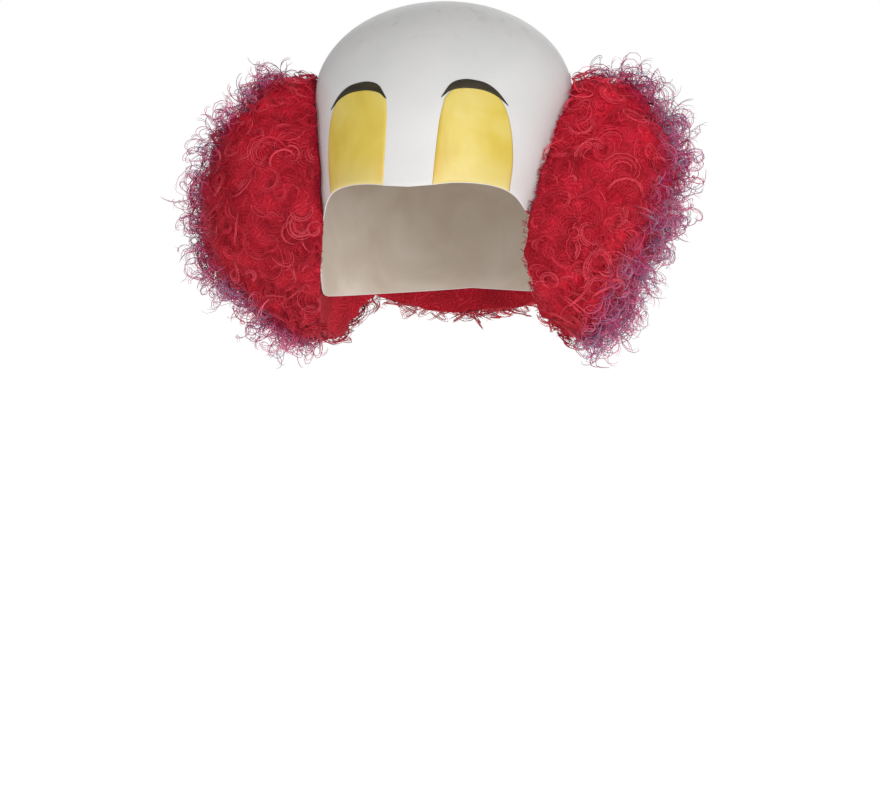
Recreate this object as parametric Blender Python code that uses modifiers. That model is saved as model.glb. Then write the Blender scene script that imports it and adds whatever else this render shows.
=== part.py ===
"""Clown mask: a latex bald cap with painted lids and brows, and a curly wig round its sides and nape."""

import math

import bmesh
import bpy
from mathutils import Vector

# Head hollow, inside the cap (metres). The origin is the inside of the crown, the face looks along -Y.
HEAD_HALF_WIDTH = 0.083
HEAD_FRONT_REACH = 0.0995
HEAD_BACK_REACH = 0.103
SIDE_RISE = 0.061
FRONT_RISE = 0.096
BACK_RISE = 0.105
DOME_POWER = 2.05
DOME_SPREAD = 1.8
HEAD_MIDDLE = Vector((0.0, 0.0, -BACK_RISE))

# Latex cap
CAP_WALL = 0.0015
CAP_SIDE_DROP = 0.190
CAP_BROW_DROP = 0.126
CAP_COLUMNS = 56
CAP_ROWS = 14

# Painted lids and brows
PAINT_GAP = 0.0003
PAINT_COAT = 0.0005
LID_TO_BROW = 0.0009
LID_HEIGHT = 0.060
LID_TOP_SPREAD = 0.40
LID_COLUMNS = 10
LID_ROWS = 10
BROW_BELOW_LID = 0.0095
BROW_ARCH = 0.0125
BROW_THICKNESS = 0.0058
BROW_INNER_ANGLE = 13.5
BROW_OUTER_ANGLE = 43.0
RIGHT_BROW_INWARD = 3.0
RIGHT_LID_WIDER = 1.8
BROW_COLUMNS = 14

# Curly hair
HAIR_GAP = 0.0004
TUFT_CENTRE_OUT = 0.012
TUFT_CENTRE_DROP = 0.145
TUFT_REACH = 0.087
TUFT_INNER_REACH = 0.060
TUFT_RISE = 0.108
TUFT_FALL = 0.084
TUFT_FRONT = 0.076
TUFT_BACK_TO_NAPE = 0.013
TUFT_SQUARENESS = 2.3
BACK_CENTRE_DROP = 0.140
BACK_REACH = 0.058
BACK_RISE_OF_HAIR = 0.066
BACK_FALL_OF_HAIR = 0.070
BACK_HALF_SPAN = 80.0
TUFT_TO_BACK = 0.003
LOCK_LENGTH = 0.024
LOCK_CORE_DEPTH = 0.017
LOCK_CURL = 0.0095
LOCK_RADIUS = 0.0072
LOCK_TURNS = 1.35
LOCK_TAPER = 0.25
LOCK_TIGHTEN = 0.35
LOCK_PHASE = 0.37
LOCK_POINTS = 11
TUFT_LOCKS = 96
BACK_LOCKS = 84
HAIR_VOXEL = 0.0045
TUFT_TRIANGLES = 2600
BACK_TRIANGLES = 2000

# Share of the cap's side drop, then the head's half width, front reach and back reach there
HEAD_TAPER = (
    (0.00, 1.000, 1.00, 1.00),
    (0.32, 1.000, 1.00, 1.00),
    (0.50, 0.995, 1.00, 1.00),
    (0.66, 0.975, 1.00, 0.98),
    (0.82, 0.965, 0.96, 0.90),
    (1.00, 0.955, 0.90, 0.80),
    (1.35, 0.930, 0.85, 0.74),
)

# Angle from the face (degrees), then the way from the brow drop to the side drop
CAP_EDGE = (
    (0.0, 0.015),
    (10.0, 0.000),
    (20.0, -0.022),
    (32.0, -0.015),
    (42.0, 0.025),
    (49.0, 0.105),
    (55.0, 0.250),
    (62.0, 0.425),
    (70.0, 0.610),
    (78.0, 0.890),
    (84.0, 0.990),
    (100.0, 1.000),
    (140.0, 0.940),
    (180.0, 0.875),
)

# Share of the lid's height above the cap's edge, then the lid's inner and outer angle (degrees)
LID_SIDES = (
    (0.00, 12.0, 45.0),
    (0.28, 12.0, 46.2),
    (0.50, 12.1, 45.7),
    (0.72, 12.6, 43.8),
    (0.87, 14.0, 40.6),
    (0.94, 17.0, 37.0),
    (1.00, 21.5, 30.5),
)

# Share of the brow's length from its inner end, then shares of its arch height and of its thickness
BROW_STROKE = (
    (0.00, 0.30, 0.12),
    (0.12, 0.80, 0.80),
    (0.28, 1.00, 1.00),
    (0.45, 1.00, 0.98),
    (0.64, 0.88, 0.88),
    (0.82, 0.56, 0.60),
    (1.00, 0.00, 0.10),
)

# Height on a side tuft from its lowest (-1) to its highest (1) point, then for the left and the right
# tuft the share of the outward reach there, and the setback as a share of the tuft's rise
TUFT_OUTLINE = (
    (-1.00, 0.46, 0.58, -0.14, 0.16),
    (-0.65, 0.49, 0.70, -0.10, 0.12),
    (-0.40, 0.53, 0.86, -0.06, 0.07),
    (-0.13, 0.63, 0.90, -0.02, 0.02),
    (0.16, 0.72, 0.91, 0.05, -0.02),
    (0.45, 0.83, 0.89, 0.13, -0.055),
    (0.78, 0.84, 0.82, 0.235, -0.09),
    (1.00, 0.84, 0.81, 0.30, -0.12),
)


def clear_scene():
    """Remove the objects that the file opens with."""
    for item in list(bpy.data.objects):
        bpy.data.objects.remove(item, do_unlink=True)


def make_collection(name):
    group = bpy.data.collections.new(name)
    bpy.context.scene.collection.children.link(group)
    return group


def make_material(name, colour, roughness):
    finish = bpy.data.materials.new(name)
    finish.use_nodes = True
    shader = finish.node_tree.nodes["Principled BSDF"]
    shader.inputs["Base Color"].default_value = (*colour, 1.0)
    shader.inputs["Roughness"].default_value = roughness
    shader.inputs["Metallic"].default_value = 0.0
    return finish


def place_mesh(name, mesh, group, finish):
    """Put a mesh in the scene as an object of its own."""
    item = bpy.data.objects.new(name, mesh)
    item.data.materials.clear()
    item.data.materials.append(finish)
    group.objects.link(item)
    return item


def closed_mesh(build, name):
    """Mesh of a closed bmesh with its faces turned out."""
    build.normal_update()
    bmesh.ops.recalc_face_normals(build, faces=build.faces)
    mesh = bpy.data.meshes.new(name)
    build.to_mesh(mesh)
    build.free()
    return mesh


def open_mesh(build, name):
    """Mesh of an open bmesh with its faces turned away from the head's middle."""
    build.normal_update()
    facing = sum(face.normal.dot(face.calc_center_median() - HEAD_MIDDLE) for face in build.faces)
    if facing < 0.0:
        bmesh.ops.reverse_faces(build, faces=build.faces)
    mesh = bpy.data.meshes.new(name)
    build.to_mesh(mesh)
    build.free()
    return mesh


def read_table(rows, place, column=1):
    """Smooth value of one column of a table at a place between its first and last row."""
    place = min(max(place, rows[0][0]), rows[-1][0])
    index = 0
    while index < len(rows) - 2 and place > rows[index + 1][0]:
        index += 1
    slopes = []
    for row in (index, index + 1):
        before = rows[max(row - 1, 0)]
        after = rows[min(row + 1, len(rows) - 1)]
        slopes.append((after[column] - before[column]) / (after[0] - before[0]))
    start, end = rows[index], rows[index + 1]
    span = end[0] - start[0]
    way = (place - start[0]) / span
    rise = way * way * (3.0 - 2.0 * way)
    leave = way * (1.0 - way) ** 2 * slopes[0] * span
    arrive = way * way * (1.0 - way) * slopes[1] * span
    return start[column] + (end[column] - start[column]) * rise + leave - arrive


def dome_reach(drop, reach, rise):
    """Radius of a dome at a drop below its top."""
    height = max(1.0 - drop / rise, 0.0)
    return reach * (1.0 - height ** DOME_POWER) ** (1.0 / DOME_POWER)


def head_form(angle, drop):
    """Point inside the cap, at an angle from the face (degrees) and a drop below the crown."""
    share = drop / CAP_SIDE_DROP
    turn = math.radians(angle)
    width = dome_reach(drop, HEAD_HALF_WIDTH, SIDE_RISE) * read_table(HEAD_TAPER, share, 1)
    if math.cos(turn) > 0.0:
        depth = dome_reach(drop, HEAD_FRONT_REACH, FRONT_RISE) * read_table(HEAD_TAPER, share, 2)
    else:
        depth = dome_reach(drop, HEAD_BACK_REACH, BACK_RISE) * read_table(HEAD_TAPER, share, 3)
    return Vector((width * math.sin(turn), -depth * math.cos(turn), -drop))


def head_point(angle, drop, outside=0.0):
    """Point of the head form moved straight out of it by a distance."""
    if drop <= 0.0:
        return Vector((0.0, 0.0, outside))
    turn_step = 0.5
    drop_step = min(0.0005, 0.5 * drop)
    around = head_form(angle + turn_step, drop) - head_form(angle - turn_step, drop)
    down = head_form(angle, drop + drop_step) - head_form(angle, drop - drop_step)
    return head_form(angle, drop) + down.cross(around).normalized() * outside


def edge_drop(angle):
    """Drop of the cap's cut edge at an angle from the face."""
    share = read_table(CAP_EDGE, abs(angle))
    return CAP_BROW_DROP + (CAP_SIDE_DROP - CAP_BROW_DROP) * share


def brow_inner_angle(side):
    """Angle of a brow's inner end: the right brow sits nearer the middle of the face."""
    return BROW_INNER_ANGLE - (RIGHT_BROW_INWARD if side < 0.0 else 0.0)


def brow_drop(side, angle, across):
    """Drop of a brow at an angle: across runs from -0.5 at its lower edge to 0.5 at its upper edge."""
    along = (angle - brow_inner_angle(side)) / (BROW_OUTER_ANGLE - BROW_INNER_ANGLE)
    ends = CAP_BROW_DROP - LID_HEIGHT + BROW_BELOW_LID
    middle = ends - BROW_ARCH * read_table(BROW_STROKE, along, 1)
    return middle - BROW_THICKNESS * read_table(BROW_STROKE, along, 2) * across


def dome_mesh(name, columns, rows, drop_at, outside):
    """Open dome on the head form, from half of a sphere, down to a drop that varies with the angle."""
    build = bmesh.new()
    bmesh.ops.create_uvsphere(build, u_segments=columns, v_segments=2 * rows, radius=1.0)
    lower = [vert for vert in build.verts if vert.co.z < -0.5 / rows]
    bmesh.ops.delete(build, geom=lower, context="VERTS")
    for vert in build.verts:
        share = math.acos(min(max(vert.co.z, -1.0), 1.0)) / (math.pi / 2.0)
        angle = math.degrees(math.atan2(vert.co.x, -vert.co.y)) if share > 0.0 else 0.0
        vert.co = head_point(angle, drop_at(angle) * share ** DOME_SPREAD, outside)
    return open_mesh(build, name)


def add_shell(item, thickness, even=False):
    """Give an open surface a wall on its outer side."""
    shell = item.modifiers.new("wall", "SOLIDIFY")
    shell.thickness = thickness
    shell.offset = 1.0
    shell.use_even_offset = even
    return item


def make_cap(group):
    finish = make_material("white latex", (0.72, 0.71, 0.70), 0.48)
    mesh = dome_mesh("skull_cap", CAP_COLUMNS, CAP_ROWS, edge_drop, 0.0)
    item = place_mesh("skull_cap", mesh, group, finish)
    item.data.shade_smooth()
    return add_shell(item, CAP_WALL, even=True)


def patch_mesh(name, columns, rows, place):
    """Grid laid on the cap's outer face: place gives the angle and drop of each share across and along."""
    build = bmesh.new()
    bmesh.ops.create_grid(build, x_segments=columns, y_segments=rows, size=0.5)
    for vert in build.verts:
        angle, drop = place(vert.co.x + 0.5, vert.co.y + 0.5)
        vert.co = head_point(angle, drop, CAP_WALL + PAINT_GAP)
    return open_mesh(build, name)


def make_eyelid(name, side, group, finish):
    """Yellow lid: a tall rounded patch that stands on the cap's brow edge."""
    def place(across, up):
        inner = read_table(LID_SIDES, up, 1) - (RIGHT_LID_WIDER if side < 0.0 else 0.0)
        outer = read_table(LID_SIDES, up, 2)
        angle = inner + (outer - inner) * across
        below_brow = brow_drop(side, angle, -0.5) + LID_TO_BROW + LID_HEIGHT * (1.0 - up) * LID_TOP_SPREAD
        drop = max(edge_drop(angle) - LID_HEIGHT * up, below_brow)
        return side * angle, drop - PAINT_GAP

    item = place_mesh(name, patch_mesh(name, LID_COLUMNS, LID_ROWS, place), group, finish)
    return add_shell(item, PAINT_COAT)


def make_eyebrow(name, side, group, finish):
    """Black brow: an arched stroke that thins to both ends, just above its lid."""
    def place(along, across):
        angle = brow_inner_angle(side) + (BROW_OUTER_ANGLE - BROW_INNER_ANGLE) * along
        return side * angle, brow_drop(side, angle, across - 0.5)

    item = place_mesh(name, patch_mesh(name, BROW_COLUMNS, 2, place), group, finish)
    return add_shell(item, PAINT_COAT)


def side_blob_point(side, ray, swell):
    """Point of the side tuft's outer form along a unit ray from its middle."""
    column = 1 if side > 0.0 else 2
    depth = TUFT_FRONT if ray.y < 0.0 else HEAD_BACK_REACH - TUFT_BACK_TO_NAPE
    height = TUFT_RISE if ray.z > 0.0 else TUFT_FALL
    reach = TUFT_REACH * read_table(TUFT_OUTLINE, ray.z, column) if ray.x > 0.0 else TUFT_INNER_REACH
    setback = TUFT_RISE * read_table(TUFT_OUTLINE, ray.z, column + 2)
    level = math.hypot(ray.x, ray.y)
    corner = (abs(ray.x) ** TUFT_SQUARENESS + abs(ray.y) ** TUFT_SQUARENESS) ** (1.0 / TUFT_SQUARENESS)
    fill = level / corner if corner > 0.0 else 1.0
    x = HEAD_HALF_WIDTH + TUFT_CENTRE_OUT + (reach + swell) * ray.x * fill
    y = (depth + swell) * ray.y * fill + setback
    return Vector((side * x, y, (height + swell) * ray.z - TUFT_CENTRE_DROP))


def back_blob_point(ray, swell):
    """Point of the nape band's outer form: the ray's x runs round the back of the head."""
    angle = 180.0 - BACK_HALF_SPAN * ray.x
    height = BACK_RISE_OF_HAIR if ray.z > 0.0 else BACK_FALL_OF_HAIR
    drop = BACK_CENTRE_DROP - (height + swell) * ray.z
    wall = head_point(angle, drop, CAP_WALL)
    out = Vector((wall.x, wall.y, 0.0)).normalized()
    return wall + out * (BACK_REACH + swell) * ray.y


def even_rays(count):
    """Unit rays spread evenly over a sphere by the golden angle."""
    rays = []
    golden = math.pi * (3.0 - math.sqrt(5.0))
    for index in range(count):
        up = 1.0 - 2.0 * (index + 0.5) / count
        ring = math.sqrt(1.0 - up * up)
        rays.append(Vector((ring * math.cos(golden * index), ring * math.sin(golden * index), up)))
    return rays


def in_head(point):
    """Whether a point lies inside the cap's outer face or its continuation down the neck."""
    angle = math.degrees(math.atan2(point.x, -point.y))
    wall = head_point(angle, max(-point.z, 0.0), CAP_WALL)
    return Vector((point.x, point.y)).length < Vector((wall.x, wall.y)).length


def lock_path(blob, ray, index):
    """Centre line of one curled lock, which winds outward from the core to the hair's outer form."""
    root = blob(ray, -LOCK_LENGTH)
    tip = blob(ray, -LOCK_RADIUS)
    out = (tip - root).normalized()
    across = out.cross(Vector((0.0, 0.0, 1.0))).normalized()
    lift = across.cross(out)
    hand = 1.0 if index % 2 else -1.0
    path = []
    for step in range(LOCK_POINTS):
        way = step / (LOCK_POINTS - 1)
        turn = hand * 2.0 * math.pi * (LOCK_TURNS * way + LOCK_PHASE * index)
        curl = LOCK_CURL * (1.0 - LOCK_TIGHTEN * way)
        path.append(root.lerp(tip, way) + across * curl * math.cos(turn) + lift * curl * math.sin(turn))
    return path


def locks_mesh(paths):
    """All the locks of one tuft as tapered tubes in one mesh."""
    curve = bpy.data.curves.new("locks", "CURVE")
    curve.dimensions = "3D"
    curve.bevel_depth = LOCK_RADIUS
    curve.bevel_resolution = 1
    curve.use_fill_caps = True
    for path in paths:
        spline = curve.splines.new("POLY")
        spline.points.add(len(path) - 1)
        for step, point in enumerate(path):
            spline.points[step].co = (*point, 1.0)
            spline.points[step].radius = 1.0 - LOCK_TAPER * step / (len(path) - 1)
    item = bpy.data.objects.new("locks", curve)
    bpy.context.scene.collection.objects.link(item)
    mesh = evaluated_mesh(item)
    bpy.data.objects.remove(item, do_unlink=True)
    return mesh


def evaluated_mesh(item):
    """Mesh of an object with its modifiers applied."""
    bpy.context.view_layer.update()
    graph = bpy.context.evaluated_depsgraph_get()
    return bpy.data.meshes.new_from_object(item.evaluated_get(graph))


def largest_body(mesh):
    """Keep the largest closed body of a mesh: crumbs and air pockets inside it are dropped."""
    build = bmesh.new()
    build.from_mesh(mesh)
    unseen = set(build.verts)
    bodies = []
    while unseen:
        front = [unseen.pop()]
        body = set(front)
        while front:
            vert = front.pop()
            for edge in vert.link_edges:
                other = edge.other_vert(vert)
                if other in unseen:
                    unseen.remove(other)
                    body.add(other)
                    front.append(other)
        bodies.append(body)
    largest = max(bodies, key=len)
    spare = [vert for body in bodies if body is not largest for vert in body]
    bmesh.ops.delete(build, geom=spare, context="VERTS")
    build.to_mesh(mesh)
    build.free()
    return mesh


def head_cutter(group):
    """The cap's outer face and the neck below it as a solid that trims the hair."""
    mesh = dome_mesh("head cutter", CAP_COLUMNS, CAP_ROWS, edge_drop, CAP_WALL + HAIR_GAP)
    build = bmesh.new()
    build.from_mesh(mesh)
    rim = [edge for edge in build.edges if edge.is_boundary]
    skirt = bmesh.ops.extrude_edge_only(build, edges=rim)["geom"]
    for vert in (part for part in skirt if isinstance(part, bmesh.types.BMVert)):
        vert.co.z = -CAP_SIDE_DROP - TUFT_FALL
    floor = [edge for edge in build.edges if edge.is_boundary]
    bmesh.ops.contextual_create(build, geom=floor)
    return place_cutter("head cutter", closed_mesh(build, "head cutter"), group)


def tuft_cutter(side, group):
    """The outer form of a side tuft, which the nape band keeps clear of."""
    build = bmesh.new()
    bmesh.ops.create_uvsphere(build, u_segments=24, v_segments=16, radius=1.0)
    for vert in build.verts:
        vert.co = side_blob_point(side, vert.co, TUFT_TO_BACK)
    return place_cutter("tuft cutter", closed_mesh(build, "tuft cutter"), group)


def place_cutter(name, mesh, group):
    item = bpy.data.objects.new(name, mesh)
    item.hide_render = True
    item.display_type = "WIRE"
    group.objects.link(item)
    return item


def cut(item, cutter):
    trim = item.modifiers.new(cutter.name, "BOOLEAN")
    trim.operation = "DIFFERENCE"
    trim.solver = "EXACT"
    trim.object = cutter


def make_hair(name, blob, lock_count, triangles, cutters, group, finish):
    """One tuft: a round core with curled locks fused to it, trimmed to the cap."""
    build = bmesh.new()
    bmesh.ops.create_uvsphere(build, u_segments=32, v_segments=20, radius=1.0)
    for vert in build.verts:
        vert.co = blob(vert.co.copy(), -LOCK_CORE_DEPTH)
    paths = [lock_path(blob, ray, index) for index, ray in enumerate(even_rays(lock_count))
             if not in_head(blob(ray, 0.0))]
    build.from_mesh(locks_mesh(paths))
    item = place_mesh(name, closed_mesh(build, name), group, finish)
    fuse = item.modifiers.new("fuse", "REMESH")
    fuse.mode = "VOXEL"
    fuse.voxel_size = HAIR_VOXEL
    item.data = largest_body(evaluated_mesh(item))
    item.modifiers.clear()
    thin = item.modifiers.new("thin", "DECIMATE")
    thin.ratio = min(triangles / (2.0 * len(item.data.polygons)), 1.0)
    for cutter in cutters:
        cut(item, cutter)
    item.data = largest_body(evaluated_mesh(item))
    item.modifiers.clear()
    item.data.materials.clear()
    item.data.materials.append(finish)
    return item


def make_mask():
    mask = make_collection("clown_mask")
    cutters = make_collection("cutters")
    make_cap(mask)
    yellow = make_material("yellow latex paint", (0.60, 0.47, 0.10), 0.45)
    black = make_material("black latex paint", (0.02, 0.018, 0.014), 0.5)
    red = make_material("red curly hair", (0.36, 0.02, 0.035), 0.55)
    head = head_cutter(cutters)
    for word, side in (("left", 1.0), ("right", -1.0)):
        make_eyelid(f"eyelid_{word}", side, mask, yellow)
        make_eyebrow(f"eyebrow_{word}", side, mask, black)
        make_hair(f"hair_{word}", lambda ray, swell, side=side: side_blob_point(side, ray, swell),
                  TUFT_LOCKS, TUFT_TRIANGLES, (head,), mask, red)
    tufts = [tuft_cutter(side, cutters) for side in (1.0, -1.0)]
    make_hair("hair_back", back_blob_point, BACK_LOCKS, BACK_TRIANGLES, (head, *tufts), mask, red)


clear_scene()
make_mask()
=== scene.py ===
import math

import bmesh
import bpy
import numpy as np
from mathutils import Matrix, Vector


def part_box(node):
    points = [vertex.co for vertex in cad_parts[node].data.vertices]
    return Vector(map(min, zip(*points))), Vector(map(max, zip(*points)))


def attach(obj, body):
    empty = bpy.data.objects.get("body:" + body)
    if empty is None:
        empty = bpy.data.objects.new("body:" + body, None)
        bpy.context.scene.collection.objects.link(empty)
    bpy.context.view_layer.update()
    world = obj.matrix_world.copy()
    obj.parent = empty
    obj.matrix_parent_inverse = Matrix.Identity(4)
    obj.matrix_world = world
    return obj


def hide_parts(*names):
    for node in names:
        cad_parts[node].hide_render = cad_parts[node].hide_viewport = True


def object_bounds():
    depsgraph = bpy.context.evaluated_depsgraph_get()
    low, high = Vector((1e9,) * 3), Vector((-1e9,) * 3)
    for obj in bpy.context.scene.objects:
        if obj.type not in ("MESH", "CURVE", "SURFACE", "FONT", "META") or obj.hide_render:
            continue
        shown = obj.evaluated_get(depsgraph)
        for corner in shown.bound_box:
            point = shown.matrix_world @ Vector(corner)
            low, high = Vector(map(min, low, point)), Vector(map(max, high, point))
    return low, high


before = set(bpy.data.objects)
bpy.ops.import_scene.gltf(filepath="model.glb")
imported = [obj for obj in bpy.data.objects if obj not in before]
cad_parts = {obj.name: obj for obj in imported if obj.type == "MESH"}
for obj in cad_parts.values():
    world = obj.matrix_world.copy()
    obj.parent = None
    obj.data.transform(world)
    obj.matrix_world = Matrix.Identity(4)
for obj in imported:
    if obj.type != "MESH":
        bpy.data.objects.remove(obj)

CAD_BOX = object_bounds()

# Cap and head form (metres), with their outer measures read from the frame
CAP_LOW, CAP_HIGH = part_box("skull_cap")
CAP_WALL = 0.0015
HALF_WIDTH = CAP_HIGH.x - CAP_WALL
FRONT_REACH = -CAP_LOW.y - CAP_WALL
BACK_REACH = CAP_HIGH.y - CAP_WALL
SIDE_DROP = -CAP_LOW.z
BROW_EDGE_DROP = 0.126
SIDE_RISE = 0.061
FRONT_RISE = 0.096
BACK_RISE = 0.105
DOME_POWER = 2.05

# Share of the side drop, then the head's half width, front reach and back reach there
HEAD_TAPER = np.array((
    (0.00, 1.000, 1.00, 1.00),
    (0.32, 1.000, 1.00, 1.00),
    (0.50, 0.995, 1.00, 1.00),
    (0.66, 0.975, 1.00, 0.98),
    (0.82, 0.965, 0.96, 0.90),
    (1.00, 0.955, 0.90, 0.80),
    (1.35, 0.930, 0.85, 0.74),
))

# Angle from the face (degrees), then the way from the brow edge's drop to the side drop
CAP_EDGE = np.array((
    (0.0, 0.015),
    (10.0, 0.000),
    (20.0, -0.022),
    (32.0, -0.015),
    (42.0, 0.025),
    (49.0, 0.105),
    (55.0, 0.250),
    (62.0, 0.425),
    (70.0, 0.610),
    (78.0, 0.890),
    (84.0, 0.990),
    (100.0, 1.000),
    (140.0, 0.940),
    (180.0, 0.875),
))

# Painted lids (metres, and degrees round the head from the middle of the face)
LID_HEIGHT = 0.0605
LID_TO_BROW = 0.0001
LID_TOP_SPREAD = 0.02
RIGHT_LID_WIDER = 1.8

# Share of a lid's height above the cap's edge, then its inner and outer angle (degrees)
LID_SIDES = np.array((
    (0.00, 12.0, 45.0),
    (0.28, 12.0, 46.2),
    (0.50, 12.1, 45.7),
    (0.72, 12.6, 43.8),
    (0.87, 14.0, 40.6),
    (0.94, 17.0, 37.0),
    (1.00, 21.5, 30.5),
))

# Share of a lid's height, then how far the left and the right lid's inner edge shifts outwards
# there (degrees)
LID_SHIFT = np.array((
    (0.00, -1.6, 1.6),
    (0.80, 1.2, -1.2),
    (0.87, 0.9, -1.8),
    (0.94, 0.2, -3.4),
    (1.00, -1.8, -6.5),
))

# Painted brows (metres and degrees)
BROW_DROP = 0.0755
BROW_ARCH = 0.0125
BROW_THICKNESS = 0.0058
BROW_ANGLES = (13.5, 43.0)
RIGHT_BROW_INWARD = 3.0

# Share of a brow's length from its inner end, then shares of its arch height and its thickness
BROW_STROKE = np.array((
    (0.00, 0.30, 0.12),
    (0.12, 0.80, 0.80),
    (0.28, 1.00, 1.00),
    (0.45, 1.00, 0.98),
    (0.64, 0.88, 0.88),
    (0.82, 0.56, 0.60),
    (1.00, 0.00, 0.10),
))

# Side tufts (metres), with their outer measures read from the frame and room for their curls
CURL_ROOM = 0.0068
DENSE_INSET = 0.0085
LEFT_LOW, LEFT_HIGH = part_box("hair_left")
RIGHT_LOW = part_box("hair_right")[0]
WIDEST_SHARE = 0.91
TUFT_CENTRE = np.array((HALF_WIDTH + 0.012, 0.0, -0.145))
TUFT_REACH = (-RIGHT_LOW.x + CURL_ROOM - TUFT_CENTRE[0]) / WIDEST_SHARE
TUFT_INNER_REACH = 0.060
TUFT_FRONT_ROOM = 0.002
TUFT_FRONT = -LEFT_LOW.y + TUFT_FRONT_ROOM
TUFT_BACK = LEFT_HIGH.y
TUFT_RISE = LEFT_HIGH.z + CURL_ROOM - TUFT_CENTRE[2]
TUFT_FALL = TUFT_CENTRE[2] - LEFT_LOW.z + CURL_ROOM
TUFT_SQUARENESS = 2.3

# Height on a side tuft from its lowest (-1) to its highest (1) point, then for the left and the right
# tuft the share of the outward reach there, and the setback as a share of the tuft's rise
TUFT_OUTLINE = np.array((
    (-1.00, 0.46, 0.58, -0.14, 0.16),
    (-0.65, 0.49, 0.70, -0.10, 0.12),
    (-0.40, 0.53, 0.86, -0.06, 0.07),
    (-0.13, 0.63, 0.90, -0.02, 0.02),
    (0.16, 0.72, 0.91, 0.05, -0.02),
    (0.45, 0.83, 0.89, 0.13, -0.055),
    (0.78, 0.84, 0.82, 0.235, -0.09),
    (1.00, 0.84, 0.81, 0.30, -0.12),
))

# Nape band, measured in the same way (metres, and degrees round the back of the head)
BAND_LOW, BAND_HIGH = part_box("hair_back")
BAND_CENTRE_DROP = 0.140
BAND_REACH = BAND_HIGH.y + 2.0 * CURL_ROOM - BACK_REACH
BAND_RISE = BAND_HIGH.z + BAND_CENTRE_DROP + CURL_ROOM
BAND_FALL = -BAND_LOW.z - BAND_CENTRE_DROP + CURL_ROOM
BAND_HALF_SPAN = 80.0

# Camera, as the photograph was taken
CAMERA_AZIMUTH = 13.0
CAMERA_DISTANCE = 1.8
CAMERA_HEIGHT = -0.2605
CAMERA_SHIFT_LEFT = 0.003
CAMERA_FOCAL_PIXELS = 2727.0
IMAGE_WIDTH = 880.0
SENSOR_WIDTH = 36.0


# Steps over which the head form's slope is measured, and the least drop (degrees and metres)
SLOPE_ANGLE = 0.5
SLOPE_DROP = 0.0005
SMALLEST_DROP = 1e-6


def read_table(rows, place, column=1):
    """Smooth values of one column of a table at an array of places."""
    xs, ys = rows[:, 0], rows[:, column]
    place = np.clip(np.asarray(place, float), xs[0], xs[-1])
    index = np.clip(np.searchsorted(xs, place, side="left") - 1, 0, len(xs) - 2)
    slopes = np.empty(len(xs))
    slopes[1:-1] = (ys[2:] - ys[:-2]) / (xs[2:] - xs[:-2])
    slopes[0] = (ys[1] - ys[0]) / (xs[1] - xs[0])
    slopes[-1] = (ys[-1] - ys[-2]) / (xs[-1] - xs[-2])
    span = xs[index + 1] - xs[index]
    way = (place - xs[index]) / span
    rise = way * way * (3.0 - 2.0 * way)
    leave = way * (1.0 - way) ** 2 * slopes[index] * span
    arrive = way * way * (1.0 - way) * slopes[index + 1] * span
    return ys[index] + (ys[index + 1] - ys[index]) * rise + leave - arrive


def dome_reach(drop, reach, rise):
    """Level reach of a dome at a drop below its top, from its full reach and its height."""
    height = np.maximum(1.0 - drop / rise, 0.0)
    return reach * np.maximum(1.0 - height ** DOME_POWER, 0.0) ** (1.0 / DOME_POWER)


def head_half_axes(drop):
    """Half width, front reach and back reach of the head form at a drop below the crown."""
    share = drop / SIDE_DROP
    return (
        dome_reach(drop, HALF_WIDTH, SIDE_RISE) * read_table(HEAD_TAPER, share, 1),
        dome_reach(drop, FRONT_REACH, FRONT_RISE) * read_table(HEAD_TAPER, share, 2),
        dome_reach(drop, BACK_REACH, BACK_RISE) * read_table(HEAD_TAPER, share, 3),
    )


def head_form(angle, drop):
    """Points of the head form at angles from the face (degrees) and drops below the crown."""
    angle, drop = np.broadcast_arrays(np.asarray(angle, float), np.asarray(drop, float))
    turn = np.radians(angle)
    width, front, back = head_half_axes(drop)
    depth = np.where(np.cos(turn) > 0.0, front, back)
    return np.stack((width * np.sin(turn), -depth * np.cos(turn), -drop), axis=-1)


def unit(vectors):
    return vectors / np.maximum(np.linalg.norm(vectors, axis=-1, keepdims=True), 1e-12)


def head_point(angle, drop, outside=0.0):
    """Points moved straight out of the head form by a distance."""
    angle = np.asarray(angle)
    drop = np.maximum(np.asarray(drop, float), SMALLEST_DROP)
    step = np.minimum(SLOPE_DROP, 0.5 * drop)
    around = head_form(angle + SLOPE_ANGLE, drop) - head_form(angle - SLOPE_ANGLE, drop)
    down = head_form(angle, drop + step) - head_form(angle, drop - step)
    normal = unit(np.cross(down, around))
    return head_form(angle, drop) + normal * np.asarray(outside)[..., None]


def edge_drop(angle):
    """Drop of the cap's edge at an angle from the face (degrees)."""
    share = read_table(CAP_EDGE, np.abs(angle))
    return BROW_EDGE_DROP + (SIDE_DROP - BROW_EDGE_DROP) * share


def brow_inner_angle(side):
    """Angle of a brow's inner end: the right brow sits nearer the middle of the face."""
    return BROW_ANGLES[0] - (RIGHT_BROW_INWARD if side < 0.0 else 0.0)


def brow_drop(side, angle, across):
    """Drop of the brow at an angle: across is -0.5 at its lower and 0.5 at its upper edge."""
    inner = brow_inner_angle(side)
    along = (angle - inner) / (BROW_ANGLES[1] - inner)
    middle = BROW_DROP - BROW_ARCH * read_table(BROW_STROKE, along, 1)
    return middle - BROW_THICKNESS * read_table(BROW_STROKE, along, 2) * across


# Mesh helpers


def new_object(name, data):
    """Object that holds some data, linked to the scene."""
    item = bpy.data.objects.new(name, data)
    bpy.context.scene.collection.objects.link(item)
    return item


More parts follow.
